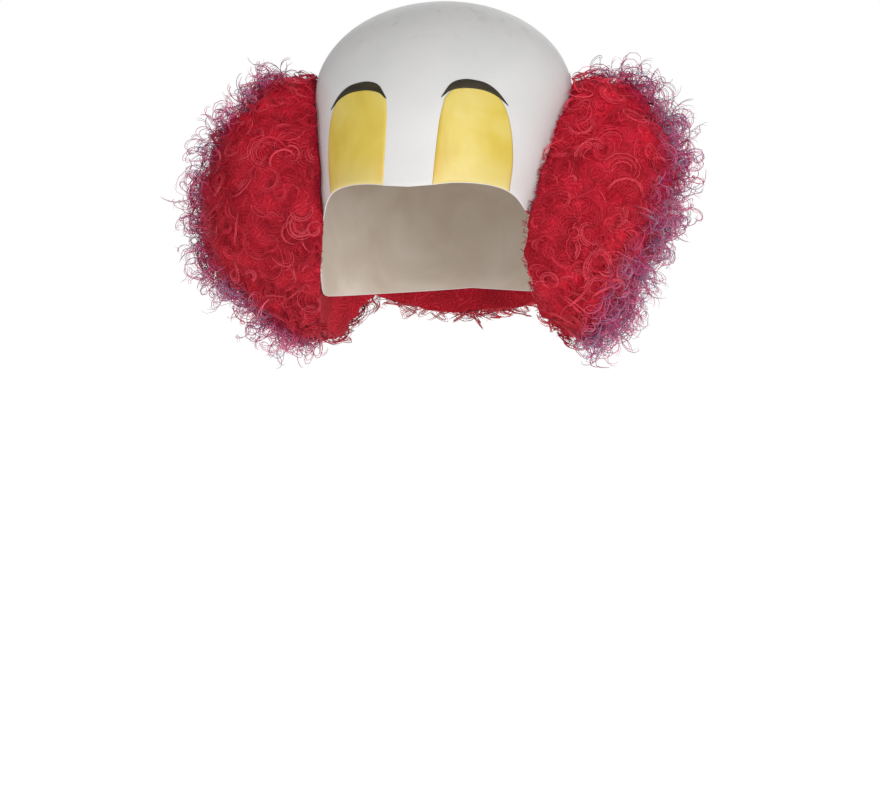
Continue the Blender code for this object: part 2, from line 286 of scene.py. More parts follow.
def mesh_piece(name, points, faces, materials):
    """Smooth object from an array of points and a list of faces."""
    mesh = bpy.data.meshes.new(name)
    mesh.from_pydata([tuple(p) for p in points], [], [tuple(f) for f in faces])
    mesh.update()
    for material in materials:
        mesh.materials.append(material)
    mesh.shade_smooth()
    return new_object(name, mesh)


def grid_faces(rows, columns, wrap=False):
    """Quads of a grid of points stored row by row."""
    quads_across = columns if wrap else columns - 1
    row, column = np.meshgrid(np.arange(rows - 1), np.arange(quads_across), indexing="ij")
    first = row * columns + column
    second = row * columns + (column + 1) % columns
    return np.stack((first, second, second + columns, first + columns), axis=-1).reshape(-1, 4)


def pole_faces(rings, columns, top, under):
    """Triangles that close a stack of rings with one point at each end."""
    column = np.arange(columns)
    after = (column + 1) % columns
    last = (rings - 1) * columns
    above = [(top, b, a) for a, b in zip(column, after)]
    below = [(under, last + a, last + b) for a, b in zip(column, after)]
    return above + below


def triangle_piece(name, points, triangles, finish):
    """Object from arrays of points and triangles."""
    mesh = bpy.data.meshes.new(name)
    mesh.vertices.add(len(points))
    mesh.vertices.foreach_set("co", np.asarray(points, np.float32).ravel())
    mesh.loops.add(3 * len(triangles))
    mesh.loops.foreach_set("vertex_index", np.asarray(triangles, np.int32).ravel())
    mesh.polygons.add(len(triangles))
    mesh.polygons.foreach_set("loop_start", np.arange(0, 3 * len(triangles), 3, dtype=np.int32))
    mesh.update(calc_edges=True)
    mesh.materials.append(finish)
    mesh.shade_smooth()
    return new_object(name, mesh)


def face_out(item):
    """Turn a closed mesh's faces out."""
    build = bmesh.new()
    build.from_mesh(item.data)
    build.normal_update()
    bmesh.ops.recalc_face_normals(build, faces=build.faces)
    build.to_mesh(item.data)
    build.free()


def set_attribute(item, name, values):
    """Keep one number for each point of a mesh, for its material to read."""
    layer = item.data.attributes.new(name, "FLOAT", "POINT")
    layer.data.foreach_set("value", np.asarray(values, np.float32).ravel())


def set_directions(item, name, vectors):
    """Keep one direction for each point of a mesh, for its material to read."""
    layer = item.data.attributes.new(name, "FLOAT_VECTOR", "POINT")
    layer.data.foreach_set("vector", np.asarray(vectors, np.float32).ravel())


# Material helpers


def set_inputs(node, values):
    """Set a node's inputs from a dictionary of their names and values."""
    for name, value in values.items():
        node.inputs[name].default_value = value


def new_material(name, colour, roughness):
    """Principled material with its own tree, its shader and its object coordinates."""
    material = bpy.data.materials.new(name)
    material.use_nodes = True
    tree = material.node_tree
    shader = tree.nodes["Principled BSDF"]
    set_inputs(shader, {"Base Color": (*colour, 1.0), "Roughness": roughness})
    place = tree.nodes.new("ShaderNodeTexCoord")
    return material, tree, shader, place.outputs["Object"]


def noise(tree, place, scale, detail=3.0, distortion=0.0, stretch=None):
    texture = tree.nodes.new("ShaderNodeTexNoise")
    set_inputs(texture, {"Scale": scale, "Detail": detail, "Distortion": distortion})
    if stretch:
        mapping = tree.nodes.new("ShaderNodeMapping")
        set_inputs(mapping, {"Scale": stretch})
        tree.links.new(place, mapping.inputs["Vector"])
        place = mapping.outputs["Vector"]
    tree.links.new(place, texture.inputs["Vector"])
    return texture.outputs["Fac"]


def ramp(tree, factor, stops):
    """Colour ramp through (place, colour) stops; a colour may be one grey number."""
    node = tree.nodes.new("ShaderNodeValToRGB")
    band = node.color_ramp
    while len(band.elements) < len(stops):
        band.elements.new(0.5)
    for element, (place, colour) in zip(band.elements, stops):
        element.position = place
        element.color = (colour, colour, colour, 1.0) if isinstance(colour, float) else (*colour, 1.0)
    tree.links.new(factor, node.inputs["Fac"])
    return node.outputs["Color"]


def mix(tree, factor, first, second, blend="MIX"):
    node = tree.nodes.new("ShaderNodeMix")
    node.data_type = "RGBA"
    node.blend_type = blend
    for name, value in (("Factor", factor), ("A", first), ("B", second)):
        socket = node.inputs[name]
        if isinstance(value, bpy.types.NodeSocket):
            tree.links.new(value, socket)
        elif isinstance(value, float):
            socket.default_value = value
        else:
            socket.default_value = (*value, 1.0)
    return node.outputs["Result"]


def map_range(tree, value, low, high):
    """A value brought from a range to 0 to 1."""
    node = tree.nodes.new("ShaderNodeMapRange")
    set_inputs(node, {"From Min": low, "From Max": high})
    tree.links.new(value, node.inputs["Value"])
    return node.outputs["Result"]


def math_node(tree, operation, first, second=0.0):
    node = tree.nodes.new("ShaderNodeMath")
    node.operation = operation
    for socket, value in zip(node.inputs, (first, second)):
        if isinstance(value, bpy.types.NodeSocket):
            tree.links.new(value, socket)
        else:
            socket.default_value = value
    return node.outputs["Value"]


def attribute(tree, name):
    node = tree.nodes.new("ShaderNodeAttribute")
    node.attribute_name = name
    return node.outputs["Fac"]


def add_bump(tree, shader, height, distance, strength, after=None):
    """Bump of a depth in metres on a shader, laid over an earlier one."""
    node = tree.nodes.new("ShaderNodeBump")
    set_inputs(node, {"Strength": strength, "Distance": distance})
    tree.links.new(height, node.inputs["Height"])
    if after:
        tree.links.new(after, node.inputs["Normal"])
    tree.links.new(node.outputs["Normal"], shader.inputs["Normal"])
    return node.outputs["Normal"]


# Cap

CAP_COLUMNS = 224
CAP_ROWS = 70
CAP_ROW_SPREAD = 1.7
RIM_ROWS = 6
RIM_BAND = 0.0035
RIM_SWELL = 0.0001
RIM_THINNING = 0.0009
RELIEF_START = 0.03

# Waves of the stretched latex: height (metres), then for each of two crossed waves its count round the
# head, its radians for a metre of drop, and its phase
RELIEF_WAVES = (
    (0.00022, (3.0, 21.0, 0.6), (0.0, 38.0, 1.1)),
    (0.00012, (7.0, -47.0, 0.0), (2.0, 71.0, 0.4)),
    (0.00005, (17.0, 120.0, 0.0), (-5.0, 150.0, 0.0)),
)


def cap_relief(angle, drop):
    """Low waves of the stretched latex: a height in metres at an angle and a drop."""
    turn = np.radians(angle)
    relief = 0.0
    for height, *crossed in RELIEF_WAVES:
        wave = height
        for around, down, phase in crossed:
            wave = wave * np.sin(around * turn + down * drop + phase)
        relief = relief + wave
    above_edge = edge_drop(angle) - drop
    rim = RIM_SWELL * np.exp(-(above_edge / RIM_BAND) ** 2)
    return np.clip(drop / RELIEF_START, 0.0, 1.0) * relief + rim


def cap_point(angle, drop, lift=0.0):
    """Points on the cap's outer face, or lifted off it."""
    return head_point(angle, drop, CAP_WALL + cap_relief(angle, drop) + lift)


def thinned(above_edge):
    """How far the latex is thinned from inside, at heights above its cut edge."""
    return RIM_THINNING * np.exp(-(above_edge / RIM_BAND) ** 2)


def make_cap():
    """One closed latex shell: outer face, rounded cut edge and inner face."""
    angle = np.arange(CAP_COLUMNS) * 360.0 / CAP_COLUMNS - 180.0
    way = (np.arange(1, CAP_ROWS + 1) / CAP_ROWS) ** CAP_ROW_SPREAD
    edge = edge_drop(angle)
    rows = [cap_point(angle, edge * share) for share in way]
    wall = CAP_WALL + RIM_SWELL - RIM_THINNING
    for step in range(1, RIM_ROWS):
        turn = math.pi * step / RIM_ROWS
        out = RIM_THINNING + 0.5 * wall * (1.0 + math.cos(turn))
        rows.append(head_point(angle, edge + 0.5 * wall * math.sin(turn), out))
    inner = [head_point(angle, edge * share, thinned(edge * (1.0 - share))) for share in way[::-1]]
    points = np.concatenate(rows + inner)
    ring_count = len(rows) + len(inner)
    faces = grid_faces(ring_count, CAP_COLUMNS, wrap=True)
    poles = pole_faces(ring_count, CAP_COLUMNS, len(points), len(points) + 1)
    crown = head_point(0.0, SMALLEST_DROP) * np.array((0.0, 0.0, 1.0))
    points = np.vstack((points, crown + (0.0, 0.0, CAP_WALL), crown))
    item = mesh_piece("cap_latex", points, [*faces, *poles], (outer_latex(), inner_latex()))
    inner_faces = np.zeros(len(item.data.polygons), np.int32)
    inner_faces[(CAP_ROWS + RIM_ROWS - 1) * CAP_COLUMNS: len(faces)] = 1
    inner_faces[len(faces) + CAP_COLUMNS:] = 1
    item.data.polygons.foreach_set("material_index", inner_faces)
    face_out(item)
    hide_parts("skull_cap")
    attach(item, "root")


def outer_latex():
    """Off-white latex: cloudy tone, faint grey smears high on the crown, partly grey that shows through the
    thin latex and partly painted shade of its wrinkles and of the top, where less light falls, fine pitted
    skin.
    """
    material, tree, shader, place = new_material("white latex", (0.74, 0.73, 0.72), 0.42)
    cloud = noise(tree, place, 11.0, 4.0, 0.4)
    tone = ramp(tree, cloud, (
        (0.30, (0.640, 0.640, 0.635)),
        (0.52, (0.690, 0.683, 0.676)),
        (0.74, (0.730, 0.715, 0.700)),
    ))
    # Painted shade: grey smears that grow towards the top of the crown stand for the shade of wrinkles and
    # of the top, where less light falls.
    smear = noise(tree, place, 62.0, 3.0, 1.6, (1.0, 1.0, 0.35))
    painted_shade_spots = ramp(tree, smear, ((0.54, 0.0), (0.68, 0.40), (0.86, 0.80)))
    height = tree.nodes.new("ShaderNodeSeparateXYZ")
    tree.links.new(place, height.inputs["Vector"])
    crown = ramp(tree, map_range(tree, height.outputs["Z"], -0.050, -0.004), ((0.0, 0.0), (1.0, 0.70)))
    tone = mix(tree, mix(tree, 1.0, painted_shade_spots, crown, "MULTIPLY"), tone, (0.40, 0.39, 0.385))
    tree.links.new(tone, shader.inputs["Base Color"])
    tree.links.new(ramp(tree, cloud, ((0.3, 0.36), (0.7, 0.47))), shader.inputs["Roughness"])
    skin = add_bump(tree, shader, noise(tree, place, 900.0, 3.0), 0.00025, 0.25)
    add_bump(tree, shader, noise(tree, place, 85.0, 4.0, 0.3), 0.0012, 0.22, skin)
    return material


def inner_latex():
    """Bare latex inside the cap: cream, a little darker and duller than the painted face."""
    material, tree, shader, place = new_material("inner latex", (0.62, 0.56, 0.47), 0.58)
    cloud = noise(tree, place, 24.0, 5.0, 0.5)
    tone = ramp(tree, cloud, ((0.32, (0.56, 0.49, 0.40)), (0.70, (0.68, 0.63, 0.55))))
    tree.links.new(tone, shader.inputs["Base Color"])
    add_bump(tree, shader, noise(tree, place, 420.0, 4.0), 0.0006, 0.35)
    return material


# Painted lids and brows

LID_GRID = (40, 60)
BROW_GRID = (64, 12)
LID_COAT = 0.00042
BROW_COAT = 0.00050
PAINT_EDGE = 0.0007
PAINT_EDGE_SHARE = 0.12
PAINT_SEAT = 0.00002


def paint_patch(name, side, grid, coat, place, finish):
    """Closed coat of paint on the cap: place gives angle and drop for shares across and up."""
    columns, rows = grid
    across, up = np.meshgrid(np.linspace(0.0, 1.0, columns), np.linspace(0.0, 1.0, rows))
    angle, drop = place(across, up)
    flat = cap_point(side * angle, drop)
    border = patch_border(flat)
    dome = np.sqrt(np.clip(1.0 - (1.0 - np.clip(border / PAINT_EDGE, 0.0, 1.0)) ** 2, 0.0, 1.0))
    top = cap_point(side * angle, drop, coat * (PAINT_EDGE_SHARE + (1.0 - PAINT_EDGE_SHARE) * dome))
    under = cap_point(side * angle, drop, PAINT_SEAT)
    points = np.concatenate((top.reshape(-1, 3), under.reshape(-1, 3)))
    grid_quads = grid_faces(rows, columns)
    count = rows * columns
    ring = [
        *range(columns),
        *range(2 * columns - 1, count, columns),
        *range(count - 2, count - columns - 1, -1),
        *range(count - 2 * columns, 0, -columns),
    ]
    wall = [(a, b, b + count, a + count) for a, b in zip(ring, ring[1:] + ring[:1])]
    faces = [*grid_quads, *(grid_quads[:, ::-1] + count), *wall]
    item = mesh_piece(name, points, faces, (finish,))
    face_out(item)
    set_attribute(item, "across", np.tile(across.ravel(), 2))
    set_attribute(item, "up", np.tile(up.ravel(), 2))
    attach(item, "root")
    return item


def patch_border(points):
    """Distance of each point of a grid from the grid's outline, across and along it."""
    step_x = np.linalg.norm(np.diff(points, axis=1), axis=-1)
    step_y = np.linalg.norm(np.diff(points, axis=0), axis=-1)
    run_x = np.concatenate((np.zeros((points.shape[0], 1)), np.cumsum(step_x, axis=1)), axis=1)
    run_y = np.concatenate((np.zeros((1, points.shape[1])), np.cumsum(step_y, axis=0)), axis=0)
    near_x = np.minimum(run_x, run_x[:, -1:] - run_x)
    near_y = np.minimum(run_y, run_y[-1:] - run_y)
    return np.minimum(near_x, near_y)


def make_eyelid(word, side, finish):
    """Yellow lid: a tall rounded patch on the cap's brow edge, just under its brow."""
    def place(across, up):
        inner = read_table(LID_SIDES, up, 1) - (RIGHT_LID_WIDER if side < 0.0 else 0.0)
        inner = inner + read_table(LID_SHIFT, up, 1 if side > 0.0 else 2)
        outer = read_table(LID_SIDES, up, 2)
        angle = inner + (outer - inner) * across
        below_brow = brow_drop(side, angle, -0.5) + LID_TO_BROW + LID_HEIGHT * (1.0 - up) * LID_TOP_SPREAD
        drop = np.maximum(edge_drop(angle) - LID_HEIGHT * up, below_brow)
        return angle, drop

    item = paint_patch(f"lid_paint_{word}", side, LID_GRID, LID_COAT, place, finish)
    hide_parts(f"eyelid_{word}")


def make_eyebrow(word, side, finish):
    """Black brow: an arched stroke that thins to both ends."""
    def place(along, across):
        inner = brow_inner_angle(side)
        angle = inner + (BROW_ANGLES[1] - inner) * along
        return angle, brow_drop(side, angle, across - 0.5)

    item = paint_patch(f"brow_paint_{word}", side, BROW_GRID, BROW_COAT, place, finish)
    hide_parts(f"eyebrow_{word}")


def yellow_paint():
    """Yellow latex paint: paler towards the brow edge, deeper orange at the lower corners, which at the
    outer corner is painted shade of a fold, thin in places.
    """
    material, tree, shader, place = new_material("yellow latex paint", (0.78, 0.58, 0.09), 0.36)
    cloud = noise(tree, place, 26.0, 3.0, 0.8)
    tone = ramp(tree, cloud, (
        (0.28, (0.60, 0.425, 0.042)),
        (0.50, (0.67, 0.510, 0.085)),
        (0.76, (0.73, 0.600, 0.190)),
    ))
    low = ramp(tree, attribute(tree, "up"), ((0.0, 0.55), (0.07, 0.30), (0.30, 0.0)))
    tone = mix(tree, low, tone, (0.76, 0.64, 0.31))
    # Deeper orange at the lids' lower corners; at the outer corner it is painted shade of a fold in the
    # latex.
    corner = ramp(tree, attribute(tree, "across"), ((0.0, 0.55), (0.16, 0.0), (0.90, 0.0), (1.0, 0.30)))
    lower = ramp(tree, attribute(tree, "up"), ((0.0, 0.2), (0.12, 0.9), (0.42, 0.0)))
    tone = mix(tree, mix(tree, 1.0, corner, lower, "MULTIPLY"), tone, (0.72, 0.36, 0.02))
    tree.links.new(tone, shader.inputs["Base Color"])
    tree.links.new(ramp(tree, cloud, ((0.3, 0.30), (0.7, 0.42))), shader.inputs["Roughness"])
    brush = noise(tree, place, 130.0, 4.0, 0.5, (1.0, 1.0, 0.3))
    skin = add_bump(tree, shader, noise(tree, place, 800.0, 2.0), 0.0002, 0.25)
    add_bump(tree, shader, brush, 0.0008, 0.22, skin)
    return material


def black_paint():
    """Near-black brow paint with brush streaks that run along the stroke."""
    material, tree, shader, place = new_material("black latex paint", (0.030, 0.024, 0.011), 0.50)
    streak = noise(tree, place, 160.0, 4.0, 0.6, (0.5, 0.5, 1.6))
    tone = ramp(tree, streak, ((0.30, (0.020, 0.016, 0.008)), (0.75, (0.044, 0.035, 0.016))))
    tree.links.new(tone, shader.inputs["Base Color"])
    tree.links.new(ramp(tree, streak, ((0.3, 0.44), (0.7, 0.60))), shader.inputs["Roughness"])
    set_inputs(shader, {"Specular IOR Level": 0.30})
    add_bump(tree, shader, streak, 0.0006, 0.35)
    return material


# Hair forms

# Waves that raise a tuft's clumps: three wave numbers along its ray, then a phase
CLUMP_HEIGHT = 0.0024
CLUMP_WAVES = np.array((
    (5.0, 9.0, 13.0, 0.4),
    (-8.0, 4.0, 10.5, 2.1),
    (11.0, -7.0, 6.0, 4.4),
    (3.0, 12.0, -9.0, 1.2),
    (-6.0, -8.0, 15.0, 3.3),
))


def clumps(ray):
    """Low swellings all over a tuft, where its curls bunch."""
    waves = np.sin(ray @ CLUMP_WAVES[:, :3].T + CLUMP_WAVES[:, 3])
    return CLUMP_HEIGHT * np.clip(waves.sum(axis=-1) / 2.0, -1.0, 1.0)


def tuft_form(side, ray, swell):
    """Points of a side tuft's dense curls along unit rays from its middle, swollen by a distance."""
    column = 1 if side > 0.0 else 2
    swell = swell - DENSE_INSET + clumps(ray)
    depth = np.where(ray[:, 1] < 0.0, TUFT_FRONT, TUFT_BACK) + swell
    height = np.where(ray[:, 2] > 0.0, TUFT_RISE, TUFT_FALL) + swell
    outward = TUFT_REACH * read_table(TUFT_OUTLINE, ray[:, 2], column)
    reach = np.where(ray[:, 0] > 0.0, outward, TUFT_INNER_REACH) + swell
    setback = TUFT_RISE * read_table(TUFT_OUTLINE, ray[:, 2], column + 2)
    level = np.hypot(ray[:, 0], ray[:, 1])
    powers = np.abs(ray[:, 0]) ** TUFT_SQUARENESS + np.abs(ray[:, 1]) ** TUFT_SQUARENESS
    fill = level / np.maximum(powers ** (1.0 / TUFT_SQUARENESS), 1e-9)
    x = TUFT_CENTRE[0] + reach * ray[:, 0] * fill
    y = depth * ray[:, 1] * fill + setback
    return np.stack((side * x, y, height * ray[:, 2] + TUFT_CENTRE[2]), axis=-1)


def band_form(ray, swell):
    """Points of the nape band's dense curls: a ray's x runs round the back of the head."""
    angle = 180.0 - BAND_HALF_SPAN * ray[:, 0]
    height = np.where(ray[:, 2] > 0.0, BAND_RISE, BAND_FALL) - DENSE_INSET
    wall = head_point(angle, BAND_CENTRE_DROP - (height + swell) * ray[:, 2], CAP_WALL)
    out = unit(wall * np.array((1.0, 1.0, 0.0)))
    return wall + out * ((BAND_REACH - DENSE_INSET + swell) * ray[:, 1])[:, None]


def even_rays(count):
    """Unit rays spread evenly over a sphere by the golden angle."""
    index = np.arange(count)
    up = 1.0 - 2.0 * (index + 0.5) / count
    ring = np.sqrt(1.0 - up * up)
    turn = math.pi * (3.0 - math.sqrt(5.0)) * index
    return np.stack((ring * np.cos(turn), ring * np.sin(turn), up), axis=-1)


# Least drop at which the head's width is read, and the longest shift that frees a strand (metres)
LEAST_WALL_DROP = 0.001
LONGEST_SHIFT = 0.008


def wall_axes(points, gap):
    """Half width and depth of the cap's outer face, or of the neck below it, level with points."""
    width, front, back = head_half_axes(np.maximum(-points[..., 2], LEAST_WALL_DROP))
    return width + CAP_WALL + gap, np.where(points[..., 1] < 0.0, front, back) + CAP_WALL + gap


def outside_head(points, gap):
    """Whether points lie a gap outside the cap and the neck, measured level."""
    width, depth = wall_axes(points, gap)
    return (points[..., 0] / width) ** 2 + (points[..., 1] / depth) ** 2 > 1.0


def clear_of_head(points, toward, gap):
    """Points moved out of the head sideways (toward is -1 or 1) or backwards (toward is 0)."""
    width, depth = wall_axes(points, gap)
    moved = points.copy()
    if toward:
        wall = width * np.sqrt(np.maximum(1.0 - (points[..., 1] / depth) ** 2, 0.0))
        moved[..., 0] = toward * np.maximum(toward * points[..., 0], wall)
    else:
        wall = depth * np.sqrt(np.maximum(1.0 - (points[..., 0] / width) ** 2, 0.0))
        moved[..., 1] = np.where(points[..., 1] > 0.0, np.maximum(points[..., 1], wall), points[..., 1])
    return moved


def eased_off_head(paths, toward, gap):
    """Strands shifted whole until they clear the head, and which of them needed only a short shift."""
    axis = 0 if toward else 1
    push = (clear_of_head(paths, toward, gap) - paths)[..., axis]
    most = push[np.arange(len(push)), np.abs(push).argmax(axis=1)]
    shifted = paths.copy()
    shifted[..., axis] += most[:, None]
    return shifted, np.abs(most) < LONGEST_SHIFT


# Curls

# Locks: how they droop, how their strands fan out, and the spread of each strand's own phase, curl and place
LOCK_DROOP = -0.6
LOCK_COMB = (0.05, 0.20)
LOCK_TRAIL = (0.10, 0.60)
TURN_JITTER = 0.20
CURL_JITTER = 0.08
ALONG_JITTER = 0.05
ALONG_STEP = 0.02
TIGHTEN_POWER = 1.3


def lock_strands(rng, root, tip, spin, radius, turns, strands, steps, tighten, bend):
    """Strands of curled locks: side by side they wind round a spin axis on the way from root to tip."""
    count = len(root)
    side = unit(np.cross(spin, unit(rng.normal(size=(count, 3)))))
    lift = np.cross(side, spin)
    hand = np.where(rng.random(count) < 0.5, -1.0, 1.0)
    phase = rng.random(count) * 2.0 * math.pi
    droop = unit(rng.normal(size=(count, 3)) + np.array((0.0, 0.0, LOCK_DROOP)))
    sag = droop * (bend * rng.random(count))[:, None]
    comb = rng.uniform(*LOCK_COMB, count)
    trail = rng.uniform(*LOCK_TRAIL, count)
    way = np.linspace(0.0, 1.0, steps)
    paths = []
    for index in range(strands):
        place = index - 0.5 * (strands - 1)
        shift = place * trail + rng.normal(0.0, TURN_JITTER, count)
        spread = 1.0 + place * comb + rng.normal(0.0, CURL_JITTER, count)
        turn = hand[:, None] * 2.0 * math.pi * turns[:, None] * way + (phase + shift)[:, None]
        curl = radius[:, None] * spread[:, None] * (1.0 - tighten * way ** TIGHTEN_POWER)
        along = way[None, :] + (rng.normal(0.0, ALONG_JITTER, count) + ALONG_STEP * place)[:, None]
        axis = root[:, None] + (tip - root)[:, None] * along[..., None]
        axis = axis + sag[:, None] * (way ** 2)[None, :, None]
        wind = side[:, None] * np.cos(turn)[..., None] + lift[:, None] * np.sin(turn)[..., None]
        paths.append(axis + wind * curl[..., None])
    return np.concatenate(paths), np.tile(spin, (strands, 1))


# A strand's share of its full width at its root and its tip, and how fast it widens from there
ROOT_WIDTH = (0.5, 8.0)
TIP_WIDTH = (0.35, 6.0)


def tube_piece(name, paths, axes, outward, radius, tint, plum, finish):
    """One mesh of three-sided tubes along paths (strand, step, xyz), capped at both ends."""
    count, steps = paths.shape[:2]
    tangent = unit(np.gradient(paths, axis=1))
    first = unit(np.cross(tangent, axes[:, None]))
    second = np.cross(tangent, first)
    way = np.linspace(0.0, 1.0, steps)
    at_tip = np.minimum(1.0, TIP_WIDTH[0] + TIP_WIDTH[1] * (1.0 - way))
    at_root = np.minimum(1.0, ROOT_WIDTH[0] + ROOT_WIDTH[1] * way)
    size = (radius[:, None] * (at_tip * at_root))[..., None]
    rings = [paths + size * (first * math.cos(a) + second * math.sin(a))
             for a in (0.0, 2.0 * math.pi / 3.0, 4.0 * math.pi / 3.0)]
    points = np.stack(rings, axis=2).reshape(-1, 3)
    base = (np.arange(count)[:, None] * steps + np.arange(steps - 1)) * 3
    faces = []
    for corner in range(3):
        a = base + corner
        b = base + (corner + 1) % 3
        faces.append(np.stack((a, b, b + 3), axis=-1).reshape(-1, 3))
        faces.append(np.stack((a, b + 3, a + 3), axis=-1).reshape(-1, 3))
    start = np.arange(count) * steps * 3
    end = start + (steps - 1) * 3
    faces.append(np.stack((start + 2, start + 1, start), axis=-1))
    faces.append(np.stack((end, end + 1, end + 2), axis=-1))
    item = triangle_piece(name, points, np.concatenate(faces), finish)
    set_attribute(item, "tint", np.repeat(tint, steps * 3))
    set_attribute(item, "plum", np.repeat(plum.ravel(), 3))
    set_directions(item, "outward", np.repeat(outward, steps * 3, axis=0))
    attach(item, "root")


# Plum band (metres), where it starts on the left and the right tuft, and its shares at top and foot
PLUM_BAND = 0.015
PLUM_START = (-0.004, 0.005)
PLUM_LIMIT = 1.3
PLUM_AT_TOP = 0.55
PLUM_AT_FOOT = 0.35


def plum_share(points, toward):
    """How far points of the hair lie in its outer, plum-tinted band, from 0 to 1."""
    x, z = points[..., 0], points[..., 2]
    height = np.where(z > TUFT_CENTRE[2], TUFT_RISE, TUFT_FALL) - DENSE_INSET
    level = np.clip((z - TUFT_CENTRE[2]) / height, -1.0, 1.0)
    ring = np.sqrt(1.0 - level ** 2)
    if toward:
        tuft = 0 if toward > 0.0 else 1
        reach = TUFT_REACH * read_table(TUFT_OUTLINE, level, 1 + tuft) - DENSE_INSET
        outer = toward * x - TUFT_CENTRE[0] - reach * ring + PLUM_START[tuft]
    else:
        outer = points[..., 1] - BACK_REACH - (BAND_REACH - DENSE_INSET) * ring
    out = np.clip(outer / PLUM_BAND + 1.0, 0.0, PLUM_LIMIT)
    above = z - TUFT_CENTRE[2] - TUFT_RISE + DENSE_INSET
    below = TUFT_CENTRE[2] - TUFT_FALL + DENSE_INSET - z
    high = np.clip(above / PLUM_BAND + PLUM_AT_TOP, 0.0, 1.0)
    low = np.clip(below / PLUM_BAND + PLUM_AT_FOOT, 0.0, 1.0)
    return np.clip(np.sqrt(out ** 2 + high ** 2 + low ** 2), 0.0, 1.0)


# Dense curls: counts, then ranges in metres and turns
TUFT_LOCKS = 1000
BAND_LOCKS = 1050
LOCK_STRANDS = 5
LOCK_STEPS = 11
LOCK_LENGTH = (0.001, 0.007)
LOCK_RADIUS = (0.0030, 0.0105)
LOCK_TURNS = (0.35, 1.0)
LOCK_TIGHTEN = 0.25
LOCK_SAG = 0.003
LOCK_TIP = 0.0035
RAY_JITTER = 0.035
TINT_JITTER = 0.22
LOCK_PLUM = (0.0, 0.9)
STRAND_RADIUS = (0.00015, 0.00028)
HEAD_CLEARANCE = 0.0012
SEAT_GAP = 0.0015
BELOW_CAP = 0.003

# Calm and wild locks: how far they lean, their shares, and the least that a lock stands out
LEANS = (0.22, 0.80)
LEAN_SHARES = (0.66, 0.34)
LEAST_STAND = 0.15
STAND_HELP = 1.2


def form_rays(form, ray, depth):
    """The rays whose points on a hair form stand clear of the head by a depth, with those points."""
    skin = form(ray, 0.0)
    keep = outside_head(skin, depth)
    return ray[keep], skin[keep]


def below_cap(form, ray, toward):
    """The rays that meet a form beside the neck below the cap, with their points moved clear of it."""
    skin = form(ray, 0.0)
    keep = ~outside_head(skin, SEAT_GAP) & (skin[:, 2] < -SIDE_DROP - BELOW_CAP)
    return ray[keep], clear_of_head(skin[keep], toward, HEAD_CLEARANCE)


def form_normal(form, ray):
    """Directions straight out of a hair form where rays meet it."""
    swell = 0.004
    return unit(form(ray, swell) - form(ray, -swell))


def make_locks(name, form, toward, seed, lock_count, finish):
    """Dense curls all over one hair form, as a mesh of strands."""
    rng = np.random.default_rng(seed)
    ray = unit(even_rays(lock_count) + rng.normal(0.0, RAY_JITTER, (lock_count, 3)))
    low_ray, low_skin = below_cap(form, ray, toward)
    ray, skin = form_rays(form, ray, SEAT_GAP)
    ray, skin = np.vstack((ray, low_ray)), np.vstack((skin, low_skin))
    count = len(ray)
    out = form_normal(form, ray)
    wild = rng.choice(LEANS, count, p=LEAN_SHARES)[:, None]
    lean = unit(out + rng.normal(0.0, 1.0, (count, 3)) * wild)
    stand = (lean * out).sum(axis=1, keepdims=True)
    lean = np.where(stand < LEAST_STAND, unit(lean + STAND_HELP * out), lean)
    tip = skin + out * rng.uniform(-LOCK_TIP, LOCK_TIP, count)[:, None]
    root = tip - lean * rng.uniform(*LOCK_LENGTH, count)[:, None]
    radius = rng.uniform(*LOCK_RADIUS, count)
    turns = rng.uniform(*LOCK_TURNS, count)
    paths, axes = lock_strands(rng, root, tip, lean, radius, turns, LOCK_STRANDS, LOCK_STEPS,
                               LOCK_TIGHTEN, LOCK_SAG)
    paths, free = eased_off_head(within_box(paths), toward, HEAD_CLEARANCE)
    total = len(paths)
    lock_tint = np.tile(rng.random(count), LOCK_STRANDS)
    tint = np.clip(lock_tint + rng.normal(0.0, TINT_JITTER, total), 0.0, 1.0)
    plum = plum_share(paths, toward) * rng.uniform(*LOCK_PLUM, total)[:, None]
    radius = rng.uniform(*STRAND_RADIUS, total)
    outward = np.tile(out, (LOCK_STRANDS, 1))
    half = np.arange(total) % 2 == 0
    for part, kept in (("1", free & half), ("2", free & ~half)):
        tube_piece(f"{name}_{part}", paths[kept], axes[kept], outward[kept], radius[kept], tint[kept],
                   plum[kept], finish)


# Loose loops: counts, then ranges in metres and turns
TUFT_LOOPS = 418
BAND_LOOPS = 250
RAYS_PER_LOOP = 8
FRINGE_STRANDS = 2
FRINGE_STEPS = 20
FRINGE_ROOT = (0.001, 0.008)
FRINGE_REACH = (0.004, 0.022)
FRINGE_RADIUS = (0.0026, 0.0064)
FRINGE_TURNS = (1.2, 2.8)
FRINGE_WIDTH = (0.00014, 0.00026)
FRINGE_LEAN = 0.35
FRINGE_TIGHTEN = 0.15
FRINGE_SAG = 0.006
FRINGE_FROM_HEAD = 0.022
FRINGE_PLUM = 1.3
FRINGE_PLUM_SPREAD = (-0.4, 0.2)

# Loops turn about the line of sight from the face, more or less, so that they show round from there
SPIN_AXIS = np.array((0.0, 1.0, 0.0))
SPIN_JITTER = 0.45
SPIN_TILT = 0.2

# Wide loops among them: their share, how far they stand out, their radius and their turns
WIDE_LOOPS = 0.24
WIDE_REACH = 0.45
WIDE_RADIUS = (0.0062, 0.0098)
WIDE_TURNS = (0.95, 1.7)

# How far loose strands may stand out of the built form's box, and where they begin to be eased back
FRINGE_LIMIT = 0.0165
FRINGE_EASE = 0.006


